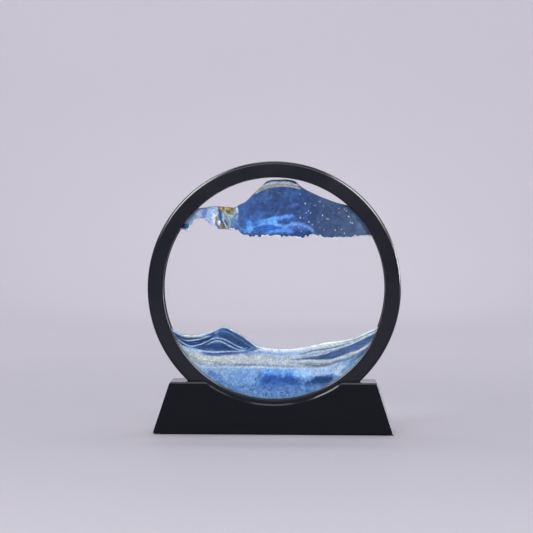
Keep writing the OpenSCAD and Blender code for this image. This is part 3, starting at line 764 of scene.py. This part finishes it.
# stripes of the marbling: (x, z, lean in degrees, half length), colour, half width, strength
marble_lines = [
    ((-38.2, 50.4, 8, 5.6), (40, 66, 122), 0.75, 0.95), ((-34.6, 50.6, 26, 5.4), (132, 136, 104), 0.6, 0.8),
    ((-33.2, 50.2, 26, 5.2), (172, 178, 176), 0.35, 0.8), ((-36.6, 46.2, 24, 3.8), (46, 72, 126), 0.7, 0.9),
    ((-35.2, 45.4, 26, 4.2), (184, 192, 204), 0.5, 0.9), ((-33.8, 44.6, 26, 4.0), (58, 78, 112), 0.55, 0.9),
    ((-41.2, 47.0, -3, 3.6), (134, 124, 76), 0.75, 0.95), ((-41.9, 42.2, 0, 1.6), (148, 146, 96), 0.6, 0.8),
    ((-40.4, 42.2, 30, 2.6), (62, 92, 150), 1.0, 0.9), ((-38.8, 45.6, 6, 1.9), (222, 226, 236), 0.8, 0.95),
    ((-36.9, 43.2, 26, 2.2), (128, 102, 48), 0.95, 0.95), ((-35.2, 42.6, 20, 1.6), (92, 84, 52), 0.6, 0.8),
    ((-31.8, 43.6, -12, 2.4), (156, 158, 116), 0.5, 0.85), ((-33.0, 42.2, 30, 1.6), (120, 150, 140), 0.6, 0.7)]
print("upper curves:", 6 + len(azure_foam))

# %% [markdown]
# The upper picture is painted the same way: the mound and its clouds, the pale sand on the left,
# the marbling between the two, and last the cap. Stripes of the marbling are short leaning lines.

# %% Paint the upper picture
def paint_upper(x, z):
    wave_x = x + 1.4 * (cloudy(x, z, 6, 111) - 0.5)
    wave_z = z + 1.2 * (cloudy(x, z, 5, 112) - 0.5)
    p = Paint(wave_x, wave_z, (42, 66, 112))
    # navy mound, greyer towards its right end, with blue clouds at its foot
    p.mix(ease(cloudy(x, z, 7, 113), 0.42, 0.64) * 0.8, (56, 86, 142))
    p.mix(ease(cloudy(x, z, 2.2, 110), 0.52, 0.66) * 0.4, (70, 98, 152))
    p.mix(ease(x, 20, 42) * 0.75, (60, 77, 108))
    p.mix(ease(x, 38, 66) * 0.65, (88, 106, 134))
    p.mix(ease(x, 18, 50) * ease(cloudy(x, z, 6, 114), 0.5, 0.66) * 0.5, (50, 70, 108))
    p.mix(ease(x, 40, 66) * ease(cloudy(x, z, 4, 109), 0.52, 0.66) * 0.6, (104, 122, 154))
    p.cloud((46, 46), (16, 3.2), (64, 88, 128), 0.6, -10, seed=108, ragged=0.9)
    p.mix((1 - ease(x, -23, -15)) * 0.6, (60, 98, 152))
    p.cloud((13.5, 58.4), (5, 1.6), (74, 96, 164), 0.8, 4, seed=115, cell=3)
    p.cloud((-10, 62), (8, 3), (62, 94, 150), 0.5, 10, seed=116)
    p.cloud((-14, 50), (10, 3.6), (58, 96, 160), 0.8, 18, seed=117, ragged=0.8)
    p.cloud((-1, 42.5), (25, 6.4), (50, 96, 174), 0.9, 0, seed=118, ragged=0.5, sharp=0.7)
    p.cloud((20, 43.0), (12, 4.0), (64, 100, 166), 0.8, 0, seed=119, ragged=0.6, sharp=0.7)
    p.cloud((-18.2, 43.0), (6.5, 5.4), (78, 136, 216), 0.9, 24, seed=120, ragged=0.8, cell=3, sharp=0.7)
    p.cloud((-17.6, 41.4), (3.0, 2.2), (112, 172, 236), 0.8, 10, seed=107, ragged=0.9, cell=2)
    p.cloud((-3.0, 47.6), (5.4, 2.2), (92, 152, 234), 0.9, 14, seed=106, ragged=1.0, cell=2.4)
    p.cloud((0.5, 45.6), (1.5, 2.6), (120, 176, 244), 0.9, 0, seed=104, ragged=0.7, cell=2)
    p.cloud((5.5, 46.4), (3.8, 1.2), (44, 74, 134), 0.85, -10, seed=105, ragged=0.6, cell=2.4)
    for k, (tone, width, path) in enumerate(azure_foam):
        p.foam(path, tone, width, 0.95, 500 + k)
    p.cloud((-4, 41.8), (9, 0.9), (44, 96, 184), 0.85, 6, seed=121, ragged=0.7, cell=3)
    p.cloud((18.5, 38.6), (8.5, 1.9), (40, 66, 124), 0.9, 8, seed=123, ragged=0.6, cell=2.4)
    p.cloud((24.6, 38.2), (3.4, 1.9), (30, 54, 96), 0.9, -30, seed=124, ragged=0.6, cell=2)
    p.mix(np.exp(-((z - under(x)) / 0.9) ** 2) * ease(x, -26, -20) * 0.6, (46, 76, 128))
    # pale sand on the left, with blue shadows and a dark corner
    pale = 1 - ease(wave_x, -40.5, -39.3)
    p.mix(pale, (142, 162, 200))
    p.mix(pale * (1 - ease(x + 0.9 * (z - 50), -58, -53)) * 0.85, (146, 172, 204))
    p.mix(pale * ease(cloudy(x, z, 4, 131), 0.5, 0.66) * 0.6, (154, 184, 224))
    p.cloud((-62, 51.5), (9, 2.0), (98, 128, 176), 0.85, 20, seed=134, ragged=0.6, cell=3)
    p.cloud((-66.5, 46.6), (5.6, 1.6), (112, 140, 158), 0.85, 48, seed=135, ragged=0.5, cell=2.4)
    p.cloud((-53.8, 51.2), (2.2, 3.4), (176, 190, 226), 0.8, 14, seed=138, ragged=0.4)
    p.cloud((-49.4, 52.0), (1.9, 4.4), (92, 122, 180), 0.9, -12, seed=132, ragged=0.5, cell=2.4)
    p.cloud((-47.8, 48.6), (2.0, 1.8), (140, 172, 222), 0.8, -20, seed=139, ragged=0.5)
    p.cloud((-43.2, 53.0), (3.0, 2.6), (164, 194, 232), 0.85, 10, seed=133, ragged=0.4)
    p.cloud((-42.6, 48.0), (2.2, 4.2), (206, 211, 232), 0.95, 4, seed=153, ragged=0.4)
    p.cloud((-64.6, 43.0), (4.6, 2.4), (34, 66, 122), 1.0, 0, seed=136, ragged=0.5, cell=2.4)
    p.cloud((-61.2, 43.6), (1.6, 2.0), (52, 118, 150), 0.8, 0, seed=154, ragged=0.6, cell=2)
    p.cloud((-50.6, 47.4), (0.8, 0.6), (96, 116, 136), 0.9, 0, seed=137, ragged=0.3, cell=1.5)
    p.mix(pale * np.exp(-((z - upper_top(x)) / 0.6) ** 2) * 0.6, (104, 128, 166))
    # marbling between the pale sand and the mound: a blue-grey field, a gold top, khaki and navy stripes
    gold = ease(wave_x, -40.5, -39.3) * (1 - ease(wave_x + 0.10 * (z - 50), -27.0, -24.5))
    p.mix(gold, (84, 120, 164))
    p.mix(gold * ease(z, 46.5, 50.5) * ease(cloudy(x, z, 3, 141), 0.36, 0.6), (146, 168, 190))
    p.mix(gold * (1 - ease(z, 41.5, 46)) * ease(x, -31, -28) * 0.9, (62, 92, 148))
    torn = 3.4 * (cloudy(x, z, 2.2, 140) - 0.5)
    top_gold = gold * ease(z + 0.25 * (x + 38) + torn, 52.6, 54.2) * (1 - ease(x + torn, -30.5, -28))
    p.mix(top_gold, (118, 112, 72))
    p.mix(top_gold * ease(cloudy(x, z, 1.6, 142), 0.46, 0.56), (160, 122, 40))
    p.mix(top_gold * ease(cloudy(x, z, 1.3, 143), 0.54, 0.62), (58, 66, 58))
    p.mix(top_gold * ease(cloudy(x, z, 1.2, 145), 0.60, 0.68), (172, 176, 156))
    p.cloud((-30.2, 53.4), (2.0, 1.6), (136, 132, 84), 0.85, 20, seed=144, ragged=0.8, cell=1.6)
    wobble = 0.5 * (cloudy(x, z, 2.2, 146) - 0.5)
    for (at_x, at_z, lean, reach), tone, width, strength in marble_lines:
        sine, cosine = math.sin(math.radians(lean)), math.cos(math.radians(lean))
        near = np.abs((x - at_x) * cosine + (z - at_z) * sine)
        along = np.abs(-(x - at_x) * sine + (z - at_z) * cosine)
        weight = (1 - ease(near + wobble, width * 0.6, width * 1.3)) * (1 - ease(along, reach * 0.85, reach))
        p.mix(weight * strength, tone)
    p.cloud((-26.6, 54.6), (1.1, 3.4), (196, 210, 226), 0.9, 12, seed=150, ragged=0.5, cell=2)
    p.mix(gold * np.exp(-((z - upper_top(x)) / 0.5) ** 2) * ease(x, -31, -28) * 0.8, (70, 74, 70))
    # cap of the peak: white, gold, pale and navy lines, one over another
    p.x, p.z = x + 0.5 * (cloudy(x, z, 3, 161) - 0.5), z + 0.4 * (cloudy(x, z, 3, 162) - 0.5)
    cap = ease(p.z - white_under(p.x), -0.5, 0.3) * within(x, (-15, 18), 1.2)
    p.mix(cap, (142, 158, 184))
    p.stroke(white_under, (158, 168, 174), 0.5, 0.9, 1.5)
    p.stroke(gold_line, (142, 134, 92), 0.5, 0.95, 1.5)
    p.stroke(pale_line, (176, 190, 210), 0.7, 0.95, 1.5)
    p.stroke(cap_line, (40, 58, 104), 0.75, 1.0, 1.2)
    p.cloud((-10.4, 69.6), (2.6, 0.8), (150, 142, 92), 0.9, 42, seed=163, ragged=0.4, cell=2)
    p.cloud((3.2, 66.9), (4.2, 0.45), (118, 106, 66), 0.7, -28, seed=164, ragged=0.8, cell=2)
    p.cloud((-4.5, 68.6), (4.5, 0.4), (104, 112, 104), 0.7, -12, seed=165, ragged=0.8, cell=2)
    rim = np.exp(-((z - upper_top(x)) / 0.55) ** 2)
    p.mix(rim * within(x, (-26, -14), 1.5) * 0.8, (92, 108, 140))
    p.mix(rim * ease(x, 15, 19) * 0.6, (128, 138, 136))
    p.mottle(0.9, 0.22, 181)
    p.mottle(3.5, 0.10, 182)
    return p.colour
print("pictures ready to paint")

# %% [markdown]
# ## Sand as solids
# Each mass of sand is a sheet of small cells, stretched between its lower and upper edge, with a
# front, a back and walls. A cell belongs to the CAD deposit that it lies in, so every deposit
# becomes one closed piece. The front has the slight relief of packed grains, and the free edges
# are rounded off towards the glass.

# %% Build the sand
from mathutils.bvhtree import BVHTree

sand_names = [name for name in nodes if name.endswith("_sand")]
slices = {}
for name in sand_names:
    data = nodes[name].data
    corners = [nodes[name].matrix_world @ v.co for v in data.vertices]
    slices[name] = BVHTree.FromPolygons(corners, [tuple(p.vertices) for p in data.polygons])

def owner(x, z, names):
    """The CAD deposit at a point, or the nearest one."""
    at = Vector((x * MM, -0.01, axis_z + z * MM))
    for name in names:
        if slices[name].ray_cast(at, Vector((0, 1, 0)))[0] is not None:
            return name
    return min(names, key=lambda name: slices[name].find_nearest(at)[3])

def sand_mass(names, low_edge, high_edge, columns, rows, paint, brightness, seed):
    """Grains between two edges, given as functions of x in mm, cut into one solid per deposit."""
    rim = sand_r / MM - 0.05
    reach = np.linspace(-rim, rim, 4001)
    low = np.maximum(low_edge(reach), -np.sqrt(rim ** 2 - reach ** 2))
    high = np.minimum(high_edge(reach), np.sqrt(np.maximum(rim ** 2 - reach ** 2, 0)))
    real = reach[high - low > 0.25]
    xs = np.linspace(real[0], real[-1], columns + 1)
    low = np.maximum(low_edge(xs), -np.sqrt(rim ** 2 - xs ** 2))
    high = np.minimum(high_edge(xs), np.sqrt(rim ** 2 - xs ** 2))
    ts = np.linspace(0, 1, rows + 1)
    x = np.repeat(xs[:, None], rows + 1, 1)
    pad = np.concatenate([np.full(8, low[0]), low, np.full(8, low[-1])])
    calm = np.convolve(pad, np.ones(17) / 17, "valid")
    z = calm[:, None] + (high - calm)[:, None] * ts + (low - calm)[:, None] * (1 - ts) ** 4
    relief = 0.5 * (cloudy(x, z, 2.5, seed, 3) - 0.5) + 0.25 * (lattice(x, z, 0.8, seed + 5) - 0.5)
    inset = np.minimum(np.minimum(high[:, None] - z, z - low[:, None]), rim - np.hypot(x, z))
    rounding = 0.55 * (1 - np.clip(inset / 0.8, 0, 1)) ** 2
    half = sand_half / MM
    front_y_mm = -half + np.clip(0.12 + 0.5 * relief, 0, 0.5) + rounding
    colour = paint(x.ravel(), z.ravel())
    colour = ((np.clip(colour, 0, 255) / 255 + 0.055) / 1.055) ** 2.4 * brightness
    stride = rows + 1
    centre_x = (x[:-1, :-1] + x[1:, 1:]) / 2
    centre_z = (z[:-1, :-1] + z[1:, 1:] + z[:-1, 1:] + z[1:, :-1]) / 4
    owners = np.array([[names.index(owner(cx, cz, names)) for cx, cz in zip(a[::2], b[::2])]
                       for a, b in zip(centre_x[::2], centre_z[::2])])
    owners = np.repeat(np.repeat(owners, 2, 0), 2, 1)[:columns, :rows]
    for k, name in enumerate(names):
        cells = np.argwhere(owners == k)
        if not len(cells):
            continue
        i, j = cells.T
        a, b = i * stride + j, (i + 1) * stride + j
        quads = np.stack([a, b, b + 1, a + 1], 1)
        edges = np.concatenate([quads[:, [0, 1]], quads[:, [1, 2]], quads[:, [2, 3]], quads[:, [3, 0]]])
        key = np.sort(edges, 1)
        pair = key[:, 0] * 10 ** 7 + key[:, 1]
        _, index, count = np.unique(pair, return_index=True, return_counts=True)
        border = edges[index[count == 1]]
        used, flat = np.unique(quads, return_inverse=True)
        front = flat.reshape(-1, 4)
        lookup = {int(v): n for n, v in enumerate(used)}
        side = np.array([[lookup[int(p)], lookup[int(q)]] for p, q in border])
        total = len(used)
        xx, zz = x.ravel()[used] * MM, z.ravel()[used] * MM + axis_z
        yy = front_y_mm.ravel()[used] * MM
        points = np.concatenate([np.stack([xx, yy, zz], 1), np.stack([xx, -yy, zz], 1)])
        faces = np.concatenate([front, front[:, ::-1] + total,
                                np.stack([side[:, 1], side[:, 0], side[:, 0] + total, side[:, 1] + total], 1)])
        piece = new_mesh_object(name.replace("_sand", "_grains"), points, faces)
        work = bmesh.new()
        work.from_mesh(piece.data)
        bmesh.ops.recalc_face_normals(work, faces=work.faces)
        work.to_mesh(piece.data)
        work.free()
        layer_colour = piece.data.color_attributes.new("layer_colour", "FLOAT_COLOR", "POINT")
        painted = np.ones((2 * total, 4))
        painted[:total, :3] = painted[total:, :3] = colour[used]
        layer_colour.data.foreach_set("color", painted.ravel())
        piece.data.materials.append(sand_finish)
        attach(piece, "picture")
        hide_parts(name)
        print(f"{piece.name}: {len(cells)} cells, {len(faces)} faces")

# %% [markdown]
# The sand's finish takes its broad colour from the painted layers. Finer than those are single
# grains: a Voronoi pattern gives each grain its own tone, a few are white or dark, and a bump
# rounds them, so that the sand looks dry and matt.

# %% Make the sand finish and the sand
sand_finish, tree, shader = start_material("layered_sand", (0.3, 0.4, 0.6), 0.85)
shader.inputs["Specular IOR Level"].default_value = 0.15
place = add(tree, "ShaderNodeTexCoord").outputs["Object"]
layer = add(tree, "ShaderNodeVertexColor", layer_name="layer_colour").outputs["Color"]
grains = add(tree, "ShaderNodeTexVoronoi", {"Vector": place, "Scale": 3200.0})
tone = add(tree, "ShaderNodeSeparateColor", {"Color": grains.outputs["Color"]})
shade = add(tree, "ShaderNodeMapRange", {"Value": tone.outputs["Red"], "To Min": 0.72, "To Max": 1.28})
toned = add(tree, "ShaderNodeVectorMath", {0: layer}, operation="SCALE")
tree.links.new(shade.outputs["Result"], toned.inputs["Scale"])
is_white = add(tree, "ShaderNodeMath", {0: tone.outputs["Green"], 1: 0.99}, operation="GREATER_THAN")
is_dark = add(tree, "ShaderNodeMath", {0: tone.outputs["Blue"], 1: 0.985}, operation="GREATER_THAN")
whitened = add(tree, "ShaderNodeMix", data_type="RGBA")
tree.links.new(is_white.outputs["Value"], whitened.inputs[0])
tree.links.new(toned.outputs["Vector"], whitened.inputs[6])
bright = add(tree, "ShaderNodeVectorMath", {0: layer, "Scale": 1.9}, operation="SCALE")
tree.links.new(bright.outputs["Vector"], whitened.inputs[7])
darkened = add(tree, "ShaderNodeMix", data_type="RGBA")
tree.links.new(is_dark.outputs["Value"], darkened.inputs[0])
tree.links.new(whitened.outputs[2], darkened.inputs[6])
dull = add(tree, "ShaderNodeVectorMath", {0: layer, "Scale": 0.4}, operation="SCALE")
tree.links.new(dull.outputs["Vector"], darkened.inputs[7])
tree.links.new(darkened.outputs[2], shader.inputs["Base Color"])
bump = add(tree, "ShaderNodeBump", {"Height": grains.outputs["Distance"], "Strength": 0.35,
                                    "Distance": 0.00012})
tree.links.new(bump.outputs["Normal"], shader.inputs["Normal"])

floor_edge = curve((-80, -80), (0, -80), (80, -80))
lower_names = ["lower_azure_sand", "lower_pale_sand", "dune_navy_sand", "right_navy_sand", "crest_pale_sand"]
upper_names = ["upper_navy_sand", "upper_azure_sand", "upper_pale_sand", "upper_gold_sand",
               "peak_pale_sand", "peak_navy_sand"]
def ragged_under(x):
    return under(x) + 1.3 * (lattice(x, 0 * x, 1.7, 201) - 0.5) + 1.2 * (lattice(x, 0 * x, 0.9, 202) - 0.5)
sand_mass(lower_names, floor_edge, crest, 400, 110, paint_lower, 0.57, 301)
sand_mass(upper_names, ragged_under, upper_top, 360, 100, paint_upper, 0.66, 302)

# %% [markdown]
# ## Bubbles and flecks
# The upper sand rests on air. Tiny bubbles crowd along its underside in a ragged white fringe.
# They are scattered by Geometry Nodes: the underside curve is cut into even steps, each step is
# multiplied, every copy is nudged at random, and each gets a little ball of its own size.

# %% Build the bubble tree
def bubble_tree():
    sizes = ("Spacing", "Drop", "Rise", "Half depth", "Smallest", "Largest")
    tree, ins = start_tree("bubbles_along_a_line", sizes, ("Copies", "Seed"))
    path = add(tree, "GeometryNodeMeshToCurve", {"Mesh": ins.outputs["Geometry"]})
    steps = add(tree, "GeometryNodeCurveToPoints", {"Curve": path.outputs["Curve"]}, mode="LENGTH")
    tree.links.new(ins.outputs["Spacing"], steps.inputs["Length"])
    many = add(tree, "GeometryNodeDuplicateElements", {"Geometry": steps.outputs["Points"],
               "Amount": ins.outputs["Copies"]}, domain="POINT")
    drop = add(tree, "ShaderNodeMath", {0: ins.outputs["Drop"], 1: -1.0}, operation="MULTIPLY")
    back = add(tree, "ShaderNodeMath", {0: ins.outputs["Half depth"], 1: -1.0}, operation="MULTIPLY")
    side = add(tree, "ShaderNodeMath", {0: ins.outputs["Spacing"], 1: -1.0}, operation="MULTIPLY")
    low = add(tree, "ShaderNodeCombineXYZ", {"X": side.outputs["Value"], "Y": back.outputs["Value"],
              "Z": drop.outputs["Value"]})
    high = add(tree, "ShaderNodeCombineXYZ", {"X": ins.outputs["Spacing"], "Y": ins.outputs["Half depth"],
               "Z": ins.outputs["Rise"]})
    nudge = add(tree, "FunctionNodeRandomValue", {0: low.outputs["Vector"], 1: high.outputs["Vector"],
                "Seed": ins.outputs["Seed"]}, data_type="FLOAT_VECTOR")
    spread = add(tree, "GeometryNodeSetPosition", {"Geometry": many.outputs["Geometry"],
                 "Offset": nudge.outputs[0]})
    luck = add(tree, "FunctionNodeRandomValue", {"Seed": 77}, data_type="FLOAT")
    rare = add(tree, "ShaderNodeMath", {0: luck.outputs[1], 1: 3.0}, operation="POWER")
    size = add(tree, "ShaderNodeMapRange", {"Value": rare.outputs["Value"], "To Min": ins.outputs["Smallest"],
               "To Max": ins.outputs["Largest"]})
    ball = add(tree, "GeometryNodeMeshUVSphere", {"Segments": 8, "Rings": 6, "Radius": 1.0})
    placed = add(tree, "GeometryNodeInstanceOnPoints", {"Points": spread.outputs["Geometry"],
                 "Instance": ball.outputs["Mesh"], "Scale": size.outputs["Result"]})
    return end_tree(tree, ins, placed.outputs["Instances"])

# %% [markdown]
# The underside of the sand is drawn as a chain of short edges, which carries the tree. Air in
# liquid mirrors the pale room, so the balls are near white, with a few greyer ones among them.

# %% Scatter the bubbles
bubble_skin, tree, shader = start_material("air_bubble", linear((245, 245, 248)), 0.25)
tint(tree, shader, noise(tree, 420.0, 2.0), [(0.35, linear((196, 200, 216))), (0.62, linear((246, 246, 250)))])

line_x = np.linspace(-66.5, 68.5, 300)
line_points = np.stack([line_x * MM, 0 * line_x, ragged_under(line_x) * MM + axis_z], 1)
fringe_host = new_mesh_object("underside_line", line_points, [])
fringe_host.data.edges.add(len(line_x) - 1)
fringe_host.data.edges.foreach_set("vertices", [v for i in range(len(line_x) - 1) for v in (i, i + 1)])
modifier = fringe_host.modifiers.new("bubbles", "NODES")
modifier.node_group = bubble_tree()
set_inputs(modifier, Spacing=0.6 * MM, Drop=0.7 * MM, Rise=0.3 * MM, Half_depth=1.7 * MM,
           Smallest=0.12 * MM, Largest=0.50 * MM, Copies=6, Seed=5, Finish=bubble_skin)
bubbles = apply_all(fringe_host, "bubble_fringe")
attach(bubbles, "picture")
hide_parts("bubble_raft")
print("bubbles:", len(bubbles.data.polygons) // 48)

# %% [markdown]
# A pinch of mica flakes, gold and silvery, glints in the navy mound. They are thin six-sided
# plates scattered over its front by a second small tree.

# %% Scatter the flakes
def flake_tree():
    tree, ins = start_tree("flakes_on_a_face", ("Density", "Smallest", "Largest"), ("Seed",))
    spots = add(tree, "GeometryNodeDistributePointsOnFaces", {"Mesh": ins.outputs["Geometry"],
                "Density": ins.outputs["Density"], "Seed": ins.outputs["Seed"]})
    plate = add(tree, "GeometryNodeMeshCylinder", {"Vertices": 6, "Radius": 1.0, "Depth": 0.16})
    size = add(tree, "FunctionNodeRandomValue", {2: ins.outputs["Smallest"], 3: ins.outputs["Largest"],
               "Seed": 9}, data_type="FLOAT")
    lean = add(tree, "FunctionNodeRandomValue", {0: (1.25, -0.3, -0.3), 1: (1.85, 0.3, 0.3), "Seed": 4},
               data_type="FLOAT_VECTOR")
    placed = add(tree, "GeometryNodeInstanceOnPoints", {"Points": spots.outputs["Points"],
                 "Instance": plate.outputs["Mesh"], "Rotation": lean.outputs[0], "Scale": size.outputs[1]})
    return end_tree(tree, ins, placed.outputs["Instances"], smooth=False)

mica, tree, shader = start_material("mica_flake", linear((214, 200, 150)), 0.4)
tint(tree, shader, noise(tree, 260.0, 0.0), [(0.42, linear((222, 196, 120))), (0.55, linear((244, 246, 248)))])
span = np.linspace(16, 64, 25)
flake_low, flake_high = under(span) + 2, np.minimum(upper_top(span) - 2.5, np.sqrt(75.5 ** 2 - span ** 2) - 1)
flake_points = [(a * MM, -sand_half - 0.02 * MM, axis_z + h * MM)
                for a, low, high in zip(span, flake_low, flake_high) for h in (low, max(high, low + 0.1))]
flake_faces = [(2 * k, 2 * k + 2, 2 * k + 3, 2 * k + 1) for k in range(len(span) - 1)]
flake_host = new_mesh_object("mound_front", flake_points, flake_faces)
modifier = flake_host.modifiers.new("flakes", "NODES")
modifier.node_group = flake_tree()
set_inputs(modifier, Density=2.6e4, Smallest=0.18 * MM, Largest=0.36 * MM, Seed=8, Finish=mica)
flakes = apply_all(flake_host, "mica_flakes")
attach(flakes, "picture")
print("flakes:", len(flakes.data.polygons) // 8)

# %% [markdown]
# ## Finishes for the remaining pieces
# Panes, liquid, spacer, seals, gaskets, plug, screws, base plate and foam keep their CAD shapes,
# which are as plain on the real object, and get their finishes here.

# %% Finish the remaining pieces
def finish(material, *names):
    for name in names:
        for holder in nodes[name].material_slots:
            holder.material = material

spacer_clear, tree, shader = start_material("spacer_frosted", (0.55, 0.57, 0.60), 0.35)
tint(tree, shader, noise(tree, 160.0, 3.0), [(0.3, (0.50, 0.52, 0.55)), (0.7, (0.62, 0.64, 0.67))])
finish(pane_glass, "front_pane", "rear_pane")
finish(clear_liquid, "liquid")
finish(rubber_black, "front_gasket", "rear_gasket", "front_seal", "rear_seal", "fill_plug")
finish(spacer_clear, "cell_spacer")
finish(screw_black, "frame_screws")
finish(screw_zinc, "base_screws")
finish(plate_black, "base_plate")
finish(foam_black, "base_mat")
for name, node in nodes.items():
    print(name, "shown" if not node.hide_render else "replaced", [m.name for m in node.data.materials if m])
